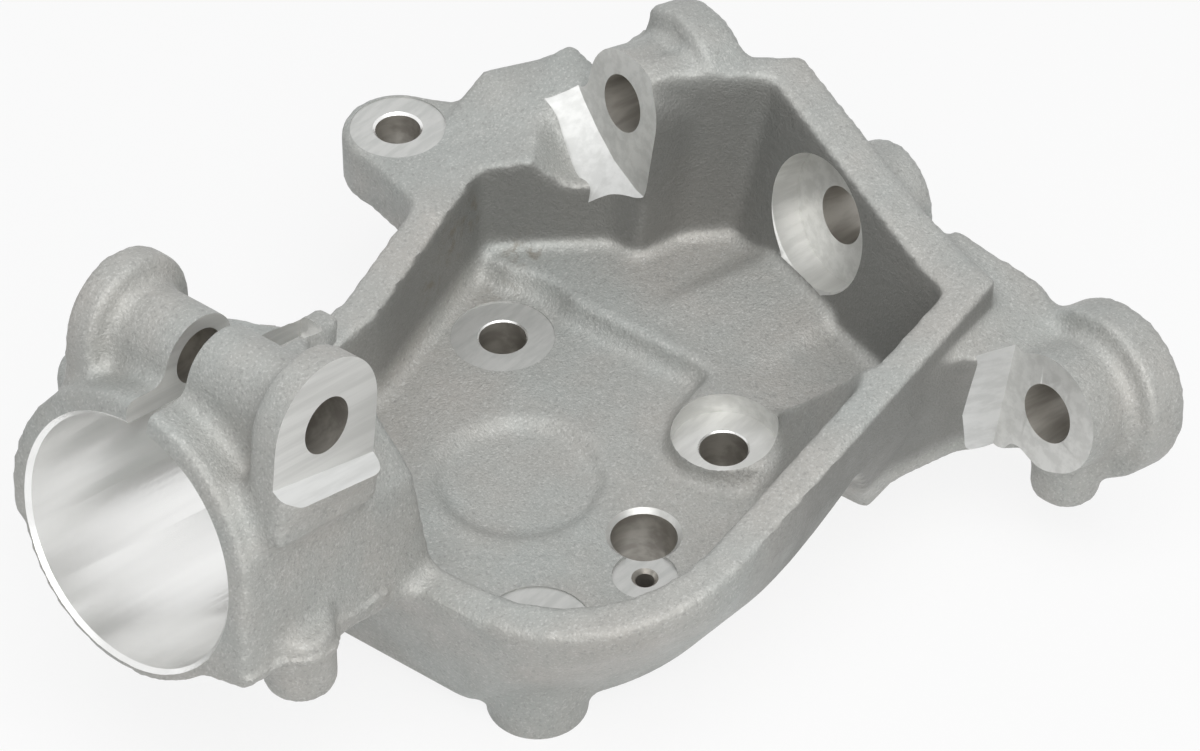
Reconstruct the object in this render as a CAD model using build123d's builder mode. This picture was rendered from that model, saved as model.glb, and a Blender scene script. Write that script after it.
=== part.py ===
from build123d import *
import math
import os

# Steering knuckle: one aluminium casting, machined where other parts seat on it.
# Millimetres. Origin: middle of the four hub bolts on the outboard hub seat.
# +Z is the wheel axis, inboard. +X runs from the strut clamp to the ball joints,
# which is downwards on the vehicle. The casting rests on its four hub bosses.

# Hub seat: four long bosses on a rectangle, with the pilot recess between them
hub_pitch_x = 82.0
hub_pitch_y = 73.4
hub_hole_d = 13.0
hub_boss_d = 26.5
hub_spot_d = 28.4
hub_boss_stand = 5.0
hub_boss_height = 22.0
pilot_d = 80.0
rim_base_r = 60.0
flare_r = 89.5
beam_z = 18.5
beam_rise = 0.06
beam_start_x = 34.0
beam_slope_run = 18.0

# Bowl: floor, raised floor towards the ball joints, wall and rim
floor_z = 28.0
floor_thick = 11.5
step_rise = 6.0
step_taper = 27.0
raised_clear_r = 18.0
dish_d = 46.0
dish_depth = 2.5
wall_thick = 12.5
wall_draft = 3.0
upper_draft = 2.0
outer_draft = 15.0
corner_r = 38.0
bowl_base_r = 63.0
bowl_flare = 60.0
flare_start_y = -20.0
flare_end_x = 54.0
reach = 90.0
parting_z = 51.0
rim_z = 57.5
rim_slope_x = 0.11
rim_slope_y = -0.05
end_wall_angle = -18.7
end_wall_reach = 99.0
end_wall_lean = 11.0
tall_slope = 0.22
tall_roof_at = (88.0, -72.0, 69.0)
tall_wall_x = 78.0

# Inner wall line at floor level, front corner first, then round by the ball joints
bowl_corners = [
    (-55.5, -71.4), (125.0, -71.4), (125.0, -12.0), (97.0, 18.0), (84.5, 25.0),
    (83.5, 32.0), (61.5, 58.5), (4.0, 48.5), (-55.5, 56.0),
]

# Toe of the raised floor's sloped edge, round the front hub bolt to the front wall
raised_corners = [
    (56.0, 90.0), (56.0, -18.0), (42.0, -19.0), (29.0, -25.0), (24.5, -36.0), (28.0, -48.0),
    (37.0, -56.0), (40.0, -90.0), (150.0, -90.0), (150.0, 90.0),
]

# Facets on the raised floor
wedge_corners = [(66.0, 20.0), (112.0, 8.0), (112.0, -12.0), (97.0, -37.5), (66.0, -29.8)]
wedge_start_x = 66.0
wedge_rise = 0.12
wedge_flank_at = (71.0, 7.5, 34.0)
wedge_flank_tilt = (0.1, 0.41, 0.906)
wall_foot_rise = 5.0
wall_foot_taper = 40.0
wall_foot_corners = [(88.0, -36.0), (104.0, -36.0), (100.0, -62.0), (84.0, -60.0)]

# Shoulder outside the back wall, with the ramp that falls from it into the bowl
shoulder_corners = [(62.0, 56.0), (70.0, 80.0), (91.0, 82.0), (110.0, 69.0), (126.0, 20.0), (100.0, 10.0)]
shoulder_top_at = (92.0, 80.0, 67.0)
shoulder_slope = 0.28
shoulder_base_z = 36.0
shoulder_height = 31.0
ramp_at = (68.0, 52.5, 66.0)
ramp_tilt = (0.198, -0.691, 0.696)
ramp_lead = 18.0

# Speed sensor seat in the floor
sensor_x = 2.0
sensor_y = -39.0
sensor_d = 17.5
sensor_chamfer = 1.25
screw_x = -10.0
screw_y = -48.0
screw_d = 5.0
screw_spot_d = 17.0
screw_spot_depth = 1.0
screw_depth = 15.0

# Strut clamp: split bore, pinch bolt across it
clamp_at = (-118.0, 30.0, 79.0)
clamp_angle = -4.3
clamp_tilt = 11.5
clamp_bore_d = 67.0
clamp_chamfer = 1.2
clamp_top_r = 40.0
clamp_low_r = 37.0
clamp_length = 68.0
clamp_split_v = -12.0
slot_width = 7.0
pinch_along = 24.0
pinch_above = 43.4
pinch_roll = 3.3
pinch_hole_d = 15.0
pinch_boss_r = 11.5
pinch_plate_r = 17.8
pinch_plate_thick = 9.0
pinch_front = 38.5
pinch_back = 32.0
pinch_plate_drop = 27.0
pinch_back_drop = 39.0
pinch_boss_drop = 24.0

# Flat side of the clamp in its own section: x across, y up from the bore's middle
clamp_side = [(0.0, 0.0), (-30.0, 25.0), (-38.5, 14.0), (-40.5, -4.0), (-43.0, -20.0), (-28.0, -24.0)]

# Ball stud bosses: nut seat, neck, round flange; axes lean like the steering axis
stud_tilt = 8.7
stud_hole_d = 16.4
nose_r = 16.5
neck_r = 15.5
flange_r = 23.5
flange_start = 15.0
flange_end = 28.0
seat_reach = 60.0
seat_foot = -22.0
bevel_at = (-11.0, -20.5, 0.0)
bevel_tilt = (-0.31, 0.74, -0.55)
bevel_tip = -13.0
bevel_end = 24.0
bevel_depth = 10.0
bevel_drop = 30.0
stud_a_at = (94.0, 35.7, 75.0)
stud_a_angle = -18.6
pilaster_drop = 46.0
pilaster_end = 24.0
stud_b_at = (109.3, -26.5, 56.5)
stud_b_seat_r = 19.3
stud_b_boss_r = 17.0
stud_b_boss_end = 19.0
stud_c_at = (84.0, -108.7, 48.0)
stud_c_angle = -13.7

# Arm from the bowl's front wall to the third stud boss
arm_corners = [
    (52.0, -79.0), (76.0, -88.0), (86.0, -100.0), (104.0, -104.0), (113.0, -88.0), (112.0, -60.0),
    (60.0, -60.0),
]
arm_base_z = 28.0
arm_roof_at = (88.0, -72.0, 66.0)
arm_roof_slope = 0.24

# Caliper ears, level with each other on both sides of the wheel axis
ear_at = (64.0, 90.0)
far_ear_at = (-56.0, 88.0)
ear_z = 60.0
ear_r = 15.5
ear_hole_d = 12.5
ear_spot_d = 26.5
ear_thick = 18.0
ear_web = [(48.8, 90.0), (40.0, 60.0), (94.0, 60.0), (79.2, 93.0)]
far_ear_web = [(-71.5, 88.0), (-66.0, 55.0), (-14.0, 55.0), (-44.0, 98.0)]

# Small round lugs on the outboard side, one under the clamp, one under the arm
lug_d = 18.5
lug_clamp_at = (-102.5, -10.5, 44.0)
lug_clamp_length = 20.0
lug_arm_at = (92.0, -111.5, 17.0)
lug_arm_length = 26.0


def leaning_plane(point, plan_angle, tilt):
    """Plane across an axis that runs towards +X and drops by tilt: x to the +Y side, y up."""
    a = math.radians(plan_angle)
    t = math.radians(tilt)
    normal = Vector(math.cos(a) * math.cos(t), math.sin(a) * math.cos(t), -math.sin(t))
    return Plane(origin=point, x_dir=(-math.sin(a), math.cos(a), 0), z_dir=normal)


from_base = (Align.CENTER, Align.CENTER, Align.MIN)
to_base = (Align.CENTER, Align.CENTER, Align.MAX)
slot_align = (Align.CENTER, Align.MIN, Align.MIN)

# Planes of the leaning features
raised_z = floor_z + step_rise
floor_base_z = floor_z - floor_thick
clamp_mouth_r = clamp_bore_d / 2 + clamp_chamfer
clamp_plane = leaning_plane(clamp_at, clamp_angle, clamp_tilt)
stud_a_plane = leaning_plane(stud_a_at, stud_a_angle, stud_tilt)
stud_b_plane = leaning_plane(stud_b_at, end_wall_angle, stud_tilt)
stud_c_plane = leaning_plane(stud_c_at, stud_c_angle, stud_tilt)
end_a = math.radians(end_wall_angle)
end_point = (end_wall_reach * math.cos(end_a), end_wall_reach * math.sin(end_a), raised_z)
end_plane = leaning_plane(end_point, end_wall_angle, end_wall_lean)
outer_end_plane = end_plane.offset(wall_thick)
low_roof = Plane(origin=(0, 0, rim_z), z_dir=(-rim_slope_x, -rim_slope_y, 1))
uphill = Vector(-math.sin(end_a), math.cos(end_a), 0) * tall_slope
tall_wall_end = Plane(origin=(tall_wall_x, 0, 0), z_dir=(1, 0, 0))
tall_roof = Plane(origin=tall_roof_at, z_dir=(-uphill.X, -uphill.Y, 1))
ramp_plane = Plane(origin=ramp_at, z_dir=ramp_tilt)
bevel_point = stud_a_plane.from_local_coords(Vector(*bevel_at))
bevel_normal = stud_a_plane.from_local_coords(Vector(*bevel_tilt)) - stud_a_plane.origin
bevel_plane = Plane(origin=bevel_point, z_dir=bevel_normal)
shoulder_roof = Plane(origin=shoulder_top_at, z_dir=(-shoulder_slope, 0, 1))
arm_roof = Plane(origin=arm_roof_at, z_dir=(0, -arm_roof_slope, 1))
hub_points = [(sx * hub_pitch_x / 2, sy * hub_pitch_y / 2) for sx in (1, -1) for sy in (1, -1)]

# Front of the bowl: its inner wall flares like the outside, as far as the raised floor
with BuildPart() as hollow_limit:
    with Locations((0, 0, floor_z)):
        Cone(bowl_base_r, bowl_base_r + bowl_flare, reach, align=from_base)
        with Locations((0, flare_start_y, 0)):
            Box(4 * reach, 2 * reach, reach, align=(Align.CENTER, Align.MIN, Align.MIN))
        with Locations((flare_end_x, 0, 0)):
            Box(2 * reach, 4 * reach, reach, align=(Align.MIN, Align.CENTER, Align.MIN))

# Hollow of the bowl: drafted walls, the far one leaning like the stud axes
with BuildSketch(Plane.XY.offset(floor_z)) as bowl_floor:
    with BuildLine():
        Polyline(bowl_corners, close=True)
    make_face()
    fillet(bowl_floor.vertices().group_by(Axis.Y)[0].sort_by(Axis.X)[0], corner_r)
with BuildPart() as hollow:
    add(bowl_floor.sketch)
    extrude(amount=reach, taper=-wall_draft)
    split(bisect_by=end_plane, keep=Keep.BOTTOM)
    add(hollow_limit.part, mode=Mode.INTERSECT)

# Raised part of the hollow's floor: its sloped edge runs round the two nearer hub bolts
with BuildPart() as raised_floor:
    with BuildSketch(Plane.XY.offset(floor_z)):
        with BuildLine():
            Polyline(raised_corners, close=True)
        make_face()
        with Locations((hub_pitch_x / 2, hub_pitch_y / 2)):
            Circle(raised_clear_r, mode=Mode.SUBTRACT)
    extrude(amount=step_rise, taper=step_taper)
    with Locations((hub_pitch_x / 2, -hub_pitch_y / 2, floor_z)):
        Cylinder(hub_spot_d / 2, 2 * step_rise, mode=Mode.SUBTRACT)

# Outside of the bowl: wall thickness all round, cone below the floor to the hub seat
with BuildSketch(Plane.XY.offset(parting_z)) as outline:
    add(bowl_floor.sketch.moved(Location((0, 0, parting_z - floor_z))))
    offset(amount=wall_thick, kind=Kind.ARC)
with BuildSketch(Plane.XZ) as under_profile:
    with BuildLine():
        Polyline(
            (0, hub_boss_stand), (rim_base_r, hub_boss_stand), (flare_r, parting_z),
            (2 * reach, parting_z), (2 * reach, 2 * reach), (0, 2 * reach), close=True,
        )
    make_face()
with BuildPart() as under_limit:
    add(under_profile.sketch)
    revolve(axis=Axis.Z)
    with BuildSketch(Plane.XZ):
        with BuildLine():
            Polyline(
                (beam_start_x, parting_z), (beam_start_x + beam_slope_run, beam_z),
                (2 * reach, beam_z + beam_rise * (2 * reach - beam_start_x)), (2 * reach, 2 * reach),
                (beam_start_x, 2 * reach), close=True,
            )
        make_face()
    extrude(amount=2 * reach, both=True)
with BuildPart() as tall_walls:
    add(outline.sketch)
    extrude(amount=reach, taper=upper_draft)
    split(bisect_by=tall_roof, keep=Keep.BOTTOM)
    split(bisect_by=outer_end_plane, keep=Keep.BOTTOM)
    split(bisect_by=tall_wall_end, keep=Keep.TOP)
with BuildPart() as shoulder:
    with BuildSketch(Plane.XY.offset(shoulder_base_z)):
        with BuildLine():
            Polyline(shoulder_corners, close=True)
        make_face()
    extrude(amount=shoulder_height)
    split(bisect_by=ramp_plane, keep=Keep.BOTTOM)
    split(bisect_by=shoulder_roof, keep=Keep.BOTTOM)
    split(bisect_by=outer_end_plane, keep=Keep.BOTTOM)
with BuildPart() as casting:
    add(outline.sketch)
    extrude(amount=reach, taper=upper_draft)
    split(bisect_by=low_roof, keep=Keep.BOTTOM)
    add(outline.sketch)
    extrude(amount=-(parting_z - hub_boss_stand), taper=outer_draft)
    split(bisect_by=outer_end_plane, keep=Keep.BOTTOM)
    add(under_limit.part, mode=Mode.INTERSECT)
    add(tall_walls.part)
    add(shoulder.part)

# Arm that carries the third ball stud, its top falling away from the bowl
with BuildPart() as arm:
    with BuildSketch(Plane.XY.offset(arm_base_z)):
        with BuildLine():
            Polyline(arm_corners, close=True)
        make_face()
    extrude(amount=reach)
    split(bisect_by=arm_roof, keep=Keep.BOTTOM)

# Noses, necks and flanges of the ball stud bosses
with BuildPart() as studs:
    with BuildSketch(stud_a_plane):
        Circle(neck_r)
        Rectangle(2 * neck_r, pilaster_drop, align=(Align.CENTER, Align.MAX))
    extrude(amount=pilaster_end)
    with BuildSketch(stud_a_plane.offset(flange_start)):
        Circle(flange_r)
    extrude(amount=flange_end - flange_start)
    with BuildSketch(stud_b_plane):
        Circle(stud_b_boss_r)
    extrude(amount=stud_b_boss_end)
    with BuildSketch(stud_c_plane):
        Circle(nose_r)
    extrude(amount=flange_start)
    with BuildSketch(stud_c_plane.offset(flange_start)):
        Circle(flange_r)
    extrude(amount=flange_end - flange_start)

# Strut clamp: round tube, thinner below, with a flat side that ends in a ridge
with BuildPart() as clamp:
    with BuildSketch(clamp_plane):
        with Locations((0, clamp_split_v)):
            Rectangle(2 * clamp_top_r, clamp_top_r - clamp_split_v, align=(Align.CENTER, Align.MIN))
        Circle(clamp_top_r, mode=Mode.INTERSECT)
        Circle(clamp_low_r)
        with BuildLine():
            Polyline(clamp_side, close=True)
        make_face()
    extrude(amount=clamp_length)

# Pinch bolt ears: a tombstone plate at each end, a round boss between them
pinch_centre = clamp_plane.from_local_coords(Vector(0, pinch_above, pinch_along))
pinch_axis = clamp_plane.x_dir - clamp_plane.y_dir * math.tan(math.radians(pinch_roll))
pinch_plane = Plane(origin=pinch_centre, x_dir=clamp_plane.z_dir, z_dir=pinch_axis)
with BuildPart() as pinch:
    with BuildSketch(pinch_plane.offset(-pinch_front)):
        Circle(pinch_plate_r)
        Rectangle(2 * pinch_plate_r, pinch_plate_drop, align=(Align.CENTER, Align.MIN))
    extrude(amount=pinch_plate_thick)
    with BuildSketch(pinch_plane.offset(pinch_back)):
        Circle(pinch_plate_r)
        Rectangle(2 * pinch_plate_r, pinch_back_drop, align=(Align.CENTER, Align.MIN))
    extrude(amount=-pinch_plate_thick)
    with BuildSketch(pinch_plane.offset(-pinch_front + 1)):
        Circle(pinch_boss_r)
        Rectangle(2 * pinch_boss_r, pinch_boss_drop, align=(Align.CENTER, Align.MIN))
    extrude(amount=pinch_front + pinch_back - 2)

# Caliper ears with their webs
with BuildPart() as ears:
    with BuildSketch(Plane.XY.offset(ear_z - ear_thick)):
        with Locations(ear_at, far_ear_at):
            Circle(ear_r)
        with BuildLine():
            Polyline(ear_web, close=True)
        make_face()
        with BuildLine():
            Polyline(far_ear_web, close=True)
        make_face()
    extrude(amount=ear_thick)

# Bosses round the hub bolts, and the small lugs
with BuildPart() as hub_bosses:
    with Locations(*[(x, y, 0) for x, y in hub_points]):
        Cylinder(hub_boss_d / 2, hub_boss_height, align=from_base)
with BuildPart() as lugs:
    with Locations(lug_clamp_at):
        Cylinder(lug_d / 2, lug_clamp_length, align=from_base)
    with Locations(lug_arm_at):
        Cylinder(lug_d / 2, lug_arm_length, align=from_base)

# What is cleared round the upper stud's nose: the shoulder's top beside it, the ramp in
# front of it, and the wall in front of its machined face
with BuildPart() as nose_clearance:
    with BuildSketch(stud_a_plane.offset(-seat_reach)):
        with Locations((neck_r - 2, 0)):
            Rectangle(seat_reach, 2 * seat_reach, align=(Align.MIN, Align.CENTER))
    extrude(amount=2 * seat_reach)
    split(bisect_by=shoulder_roof, keep=Keep.TOP)
    split(bisect_by=tall_wall_end, keep=Keep.TOP)
with BuildPart() as ramp_clearance:
    with BuildSketch(stud_a_plane.offset(-seat_reach)):
        Rectangle(seat_reach, 2 * seat_reach, align=(Align.MIN, Align.CENTER))
    extrude(amount=seat_reach)
    split(bisect_by=ramp_plane, keep=Keep.TOP)
    split(bisect_by=tall_wall_end.offset(-ramp_lead), keep=Keep.TOP)
with BuildPart() as seat_clearance:
    with BuildSketch(stud_a_plane.offset(-seat_reach)):
        with Locations((0, seat_foot)):
            Rectangle(neck_r + 2, seat_reach, align=(Align.MAX, Align.MIN))
    extrude(amount=seat_reach)
    split(bisect_by=tall_wall_end.offset(-ramp_lead), keep=Keep.TOP)

# Bevel that rises from the ramp to the foot of the nose's face
with BuildPart() as seat_bevel:
    with BuildSketch(Plane(origin=stud_a_at, x_dir=stud_a_plane.x_dir, z_dir=stud_a_plane.y_dir)):
        with BuildLine():
            Polyline((bevel_tip, -1), (bevel_tip, 0), (bevel_end, bevel_depth), (bevel_end, -1), close=True)
        make_face()
    extrude(amount=-bevel_drop)
    split(bisect_by=bevel_plane, keep=Keep.BOTTOM)

# Facets of the raised floor: a wedge that rises to the middle stud's seat, with one broad
# flank, and a bevel along the foot of the end wall
with BuildPart() as floor_wedge:
    with BuildSketch(Plane.XY.offset(floor_z)):
        with BuildLine():
            Polyline(wedge_corners, close=True)
        make_face()
    extrude(amount=reach)
    split(bisect_by=Plane(origin=(wedge_start_x, 0, raised_z), z_dir=(-wedge_rise, 0, 1)), keep=Keep.BOTTOM)
    split(bisect_by=Plane(origin=wedge_flank_at, z_dir=wedge_flank_tilt), keep=Keep.BOTTOM)
with BuildPart() as wall_foot:
    with BuildSketch(Plane.XY.offset(raised_z)):
        with BuildLine():
            Polyline(wall_foot_corners, close=True)
        make_face()
    extrude(amount=wall_foot_rise, taper=wall_foot_taper)

# Nose of the upper ball stud boss, standing on a pilaster inside the bowl
with BuildPart() as inner_nose:
    with BuildSketch(stud_a_plane):
        Circle(neck_r)
        Rectangle(2 * neck_r, pilaster_drop, align=(Align.CENTER, Align.MAX))
    extrude(amount=flange_start)

# Join the lumps, then cut the hollow, the bores and the machined seats
with BuildPart() as knuckle:
    add(casting.part)
    add(arm.part)
    add(clamp.part)
    add(pinch.part)
    add(studs.part)
    add(ears.part)
    add(lugs.part)
    add(hollow.part - raised_floor.part, mode=Mode.SUBTRACT)
    add(nose_clearance.part, mode=Mode.SUBTRACT)
    add(ramp_clearance.part, mode=Mode.SUBTRACT)
    add(seat_clearance.part, mode=Mode.SUBTRACT)
    add(seat_bevel.part)
    add(floor_wedge.part)
    add(wall_foot.part)
    add(inner_nose.part)
    # Outboard recess, floor dish, hub bolt bosses, holes and spot faces
    with Locations((0, 0, hub_boss_stand)):
        Cylinder(pilot_d / 2, floor_base_z - hub_boss_stand, align=from_base, mode=Mode.SUBTRACT)
    add(hub_bosses.part)
    with Locations((0, 0, floor_z)):
        Cone(dish_d / 2 - dish_depth, dish_d / 2, dish_depth, align=to_base, mode=Mode.SUBTRACT)
    with Locations(*[(x, y, floor_z) for x, y in hub_points]):
        Cylinder(hub_spot_d / 2, reach, align=from_base, mode=Mode.SUBTRACT)
        Cylinder(hub_hole_d / 2, 80, mode=Mode.SUBTRACT)
    with Locations((sensor_x, sensor_y, floor_z)):
        CounterSinkHole(sensor_d / 2, sensor_d / 2 + sensor_chamfer, 60, 90)
    with Locations((screw_x, screw_y, floor_z)):
        Cylinder(screw_spot_d / 2, 2 * screw_spot_depth, mode=Mode.SUBTRACT)
        Hole(screw_d / 2, screw_depth)
    # Clamp bore, slot and pinch bolt hole
    with Locations(clamp_plane):
        Cylinder(clamp_bore_d / 2, 2 * (clamp_length + 8), mode=Mode.SUBTRACT)
        Cone(clamp_mouth_r, clamp_bore_d / 2, clamp_chamfer, align=from_base, mode=Mode.SUBTRACT)
        with Locations((0, 0, -10)):
            Box(slot_width, reach, 2 * clamp_length, align=slot_align, mode=Mode.SUBTRACT)
    with Locations(pinch_plane):
        Cylinder(pinch_hole_d / 2, 4 * pinch_front, mode=Mode.SUBTRACT)
    # Nut seats and stud holes
    with Locations(stud_a_plane, stud_c_plane):
        Cylinder(stud_hole_d / 2, 120, mode=Mode.SUBTRACT)
    with Locations(stud_b_plane):
        Cylinder(stud_hole_d / 2, 120, mode=Mode.SUBTRACT)
        Cylinder(stud_b_seat_r, 40, align=to_base, mode=Mode.SUBTRACT)
    # Caliper ears
    with Locations((*ear_at, ear_z), (*far_ear_at, ear_z)):
        Cylinder(ear_hole_d / 2, 80, mode=Mode.SUBTRACT)
        Cylinder(ear_spot_d / 2, 30, align=from_base, mode=Mode.SUBTRACT)
knuckle.part.label = "knuckle_casting"
os.makedirs("parts", exist_ok=True)
export_step(knuckle.part, "parts/knuckle_casting.step")
print("solids", len(knuckle.part.solids()), "volume", round(knuckle.part.volume), knuckle.part.bounding_box())
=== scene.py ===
# %% [markdown]
# # A bare cast steering knuckle
# The real thing is one aluminium casting. Most of its skin is left as it came out of the
# mould; only the places where another part seats are cut bright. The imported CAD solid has
# nearly every form and every seat, with sharp corners. So the work here is to soften it into
# a casting, to cut the seats again crisply, and to give each kind of skin its own finish.

# %% Load the frame
import math
import bpy
import numpy as np
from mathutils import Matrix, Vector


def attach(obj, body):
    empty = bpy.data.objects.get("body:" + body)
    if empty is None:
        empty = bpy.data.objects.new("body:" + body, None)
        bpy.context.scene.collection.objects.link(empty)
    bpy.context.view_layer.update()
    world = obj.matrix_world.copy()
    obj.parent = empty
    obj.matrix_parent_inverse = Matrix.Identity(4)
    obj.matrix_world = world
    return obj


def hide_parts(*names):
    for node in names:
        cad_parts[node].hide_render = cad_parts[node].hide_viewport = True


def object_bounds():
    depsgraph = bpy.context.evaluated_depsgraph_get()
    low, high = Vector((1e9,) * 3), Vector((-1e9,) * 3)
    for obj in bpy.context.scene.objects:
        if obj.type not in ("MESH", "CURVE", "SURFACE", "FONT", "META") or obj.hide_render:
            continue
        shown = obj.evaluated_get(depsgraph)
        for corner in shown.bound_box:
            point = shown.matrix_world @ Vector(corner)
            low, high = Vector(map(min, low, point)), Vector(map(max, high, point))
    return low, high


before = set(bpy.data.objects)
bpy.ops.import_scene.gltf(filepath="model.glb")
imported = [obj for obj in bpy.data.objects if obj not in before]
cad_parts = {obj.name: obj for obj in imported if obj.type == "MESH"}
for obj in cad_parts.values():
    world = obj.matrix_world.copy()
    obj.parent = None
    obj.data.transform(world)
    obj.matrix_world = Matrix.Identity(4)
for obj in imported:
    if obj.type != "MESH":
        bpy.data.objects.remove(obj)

import openvdb
from mathutils import Matrix, Vector

MM = 0.001
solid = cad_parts["knuckle_casting"]
cad_box = [list(corner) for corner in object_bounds()]
print("CAD box in mm:", [[round(v / MM, 1) for v in corner] for corner in cad_box])

# %% [markdown]
# ## Where the camera stands
# The photograph is a long-lens view from above the clamp end. The camera could be dragged
# until things line up, but bolt holes of known spacing fix it much better: the numbers here
# are the stance and lens at which the hub bolts, the bore and the bosses fall in place.

# %% Camera
PHOTO_WIDTH, PHOTO_HEIGHT = 1200, 751
FOCAL_PX = 4575.0
SENSOR_WIDTH = 36.0
SWING, LOOK_DOWN, ROLL = -53.8, 42.6, -0.3
AIM_MM = Vector((0.0, 0.0, 28.0))
AIM_PX = (519.3, 476.0)
DISTANCE_MM = 1200.0


def camera_axes(swing, look_down, roll):
    """Right, down and forward directions of a camera that looks at the object from above."""
    a, e, r = map(math.radians, (swing, look_down, roll))
    forward = Vector((-math.sin(a) * math.cos(e), math.cos(a) * math.cos(e), -math.sin(e)))
    right = Vector((math.cos(a), math.sin(a), 0.0))
    down = forward.cross(right)
    c, s = math.cos(r), math.sin(r)
    return right * c + down * s, down * c - right * s, forward


right, down, forward = camera_axes(SWING, LOOK_DOWN, ROLL)
px_right, px_down = AIM_PX[0] - PHOTO_WIDTH / 2, AIM_PX[1] - PHOTO_HEIGHT / 2
eye = AIM_MM - (forward + (right * px_right + down * px_down) / FOCAL_PX) * DISTANCE_MM
stance = Matrix((right, -down, -forward)).transposed().to_4x4()
camera_data = bpy.data.cameras.new("studio_camera")
camera_data.sensor_width = SENSOR_WIDTH
camera_data.lens = FOCAL_PX / PHOTO_WIDTH * SENSOR_WIDTH
camera_data.clip_start = 0.05
camera_data.clip_end = 20.0
camera = bpy.data.objects.new("studio_camera", camera_data)
camera.matrix_world = Matrix.Translation(eye * MM) @ stance
bpy.context.scene.collection.objects.link(camera)
bpy.context.scene.camera = camera
print("lens", round(camera_data.lens, 1), "mm, eye at", [round(v) for v in eye])

# %% [markdown]
# ## Studio light
# A catalogue picture of bare metal is lit by large soft sources. One wide panel overhead
# gives the pale tops, a second from the front left fills the near faces, and a dim even
# world keeps the inner walls from going black. One small lamp would be simpler, but bare
# metal would mirror it as a hard spot.

# %% Soft panels


def panel(name, place, target, size, watts, tint):
    """A soft rectangular lamp, placed and aimed in metres."""
    lamp = bpy.data.lights.new(name, "AREA")
    lamp.shape = "RECTANGLE"
    lamp.size, lamp.size_y = size
    lamp.energy = watts
    lamp.color = tint
    holder = bpy.data.objects.new(name, lamp)
    holder.location = place
    holder.rotation_euler = (Vector(target) - Vector(place)).to_track_quat("-Z", "Y").to_euler()
    bpy.context.scene.collection.objects.link(holder)
    print(name, watts, "W")


panel("overhead_panel", place=(-0.25, -0.35, 1.2), target=(0.0, 0.0, 0.03),
      size=(1.2, 1.2), watts=10.5, tint=(1.0, 1.0, 1.0))
panel("front_left_panel", place=(-0.75, -0.95, 0.65), target=(0.0, 0.0, 0.04),
      size=(0.8, 0.7), watts=5.0, tint=(1.0, 0.985, 0.96))
panel("back_panel", place=(0.5, 1.1, 0.8), target=(0.0, 0.0, 0.04),
      size=(0.9, 0.5), watts=2.0, tint=(0.97, 0.99, 1.0))

# %% [markdown]
# ## A white world and a pale floor
# The photograph has a white ground, and the bright bore mirrors white paper. More light
# would give that too, but it would bleach the casting. So the world and most of the floor's
# tone are white only on rays that the camera sends or that metal mirrors. All other rays
# find a dim world and plain pale paper. A small share of that paper also shows to the
# camera, and it carries the casting's shadow.

# %% World and floor
WORLD_FILL = 0.30
FLOOR_REACH = 3.0
FLOOR_GLOW = 0.85


def seen_or_mirrored(tree):
    """1 on rays that the camera sends, and on those that metal or glass send on."""
    path = tree.nodes.new("ShaderNodeLightPath")
    total = path.outputs["Is Camera Ray"]
    for other in ("Is Glossy Ray", "Is Transmission Ray"):
        larger = tree.nodes.new("ShaderNodeMath")
        larger.operation = "MAXIMUM"
        tree.links.new(total, larger.inputs[0])
        tree.links.new(path.outputs[other], larger.inputs[1])
        total = larger.outputs[0]
    return total


def blend_shaders(tree, share, first, second, output):
    """Mixes two shaders by share, into the material's or the world's output."""
    blend = tree.nodes.new("ShaderNodeMixShader")
    tree.links.new(share, blend.inputs["Fac"])
    tree.links.new(first.outputs[0], blend.inputs[1])
    tree.links.new(second.outputs[0], blend.inputs[2])
    tree.links.new(blend.outputs[0], output.inputs["Surface"])


world = bpy.data.worlds.new("studio")
bpy.context.scene.world = world
world.use_nodes = True
air = world.node_tree
dim = air.nodes["Background"]
dim.inputs["Color"].default_value = (0.93, 0.95, 0.97, 1)
dim.inputs["Strength"].default_value = WORLD_FILL
white = air.nodes.new("ShaderNodeBackground")
white.inputs["Color"].default_value = (1, 1, 1, 1)
white.inputs["Strength"].default_value = 1.0
blend_shaders(air, seen_or_mirrored(air), dim, white, air.nodes["World Output"])

square = ((-1, -1), (1, -1), (1, 1), (-1, 1))
floor_mesh = bpy.data.meshes.new("floor")
floor_mesh.from_pydata([(sx * FLOOR_REACH, sy * FLOOR_REACH, 0) for sx, sy in square], [], [(0, 1, 2, 3)])
floor = bpy.data.objects.new("floor", floor_mesh)
bpy.context.scene.collection.objects.link(floor)
paper = bpy.data.materials.new("pale_studio_floor")
paper.use_nodes = True
sheet = paper.node_tree
plain = sheet.nodes["Principled BSDF"]
plain.inputs["Base Color"].default_value = (0.86, 0.86, 0.86, 1)
plain.inputs["Roughness"].default_value = 0.9
plain.inputs["Specular IOR Level"].default_value = 0.1
glow = sheet.nodes.new("ShaderNodeEmission")
glow.inputs["Color"].default_value = (1, 1, 1, 1)
glow.inputs["Strength"].default_value = 1.0
share = sheet.nodes.new("ShaderNodeMath")
share.operation = "MULTIPLY"
share.inputs[1].default_value = FLOOR_GLOW
sheet.links.new(seen_or_mirrored(sheet), share.inputs[0])
blend_shaders(sheet, share.outputs[0], plain, glow, sheet.nodes["Material Output"])
floor.data.materials.append(paper)
print("world and floor ready")

# %% [markdown]
# ## Places on the casting
# Every seat is cut square to a line: the wheel axis, the strut axis, the pinch bolt's axis
# or a ball stud's axis. Each line gets its own little frame, so that a cutter is written in
# the way that the machinist would set it up. The numbers repeat the CAD ones, in
# millimetres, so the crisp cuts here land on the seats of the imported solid.

# %% Frames of the seats
HUB_HALF_X, HUB_HALF_Y = 41.0, 36.7
PINCH_LEAN, PINCH_HEIGHT, PINCH_ALONG = 3.3, 43.4, 24.0


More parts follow.
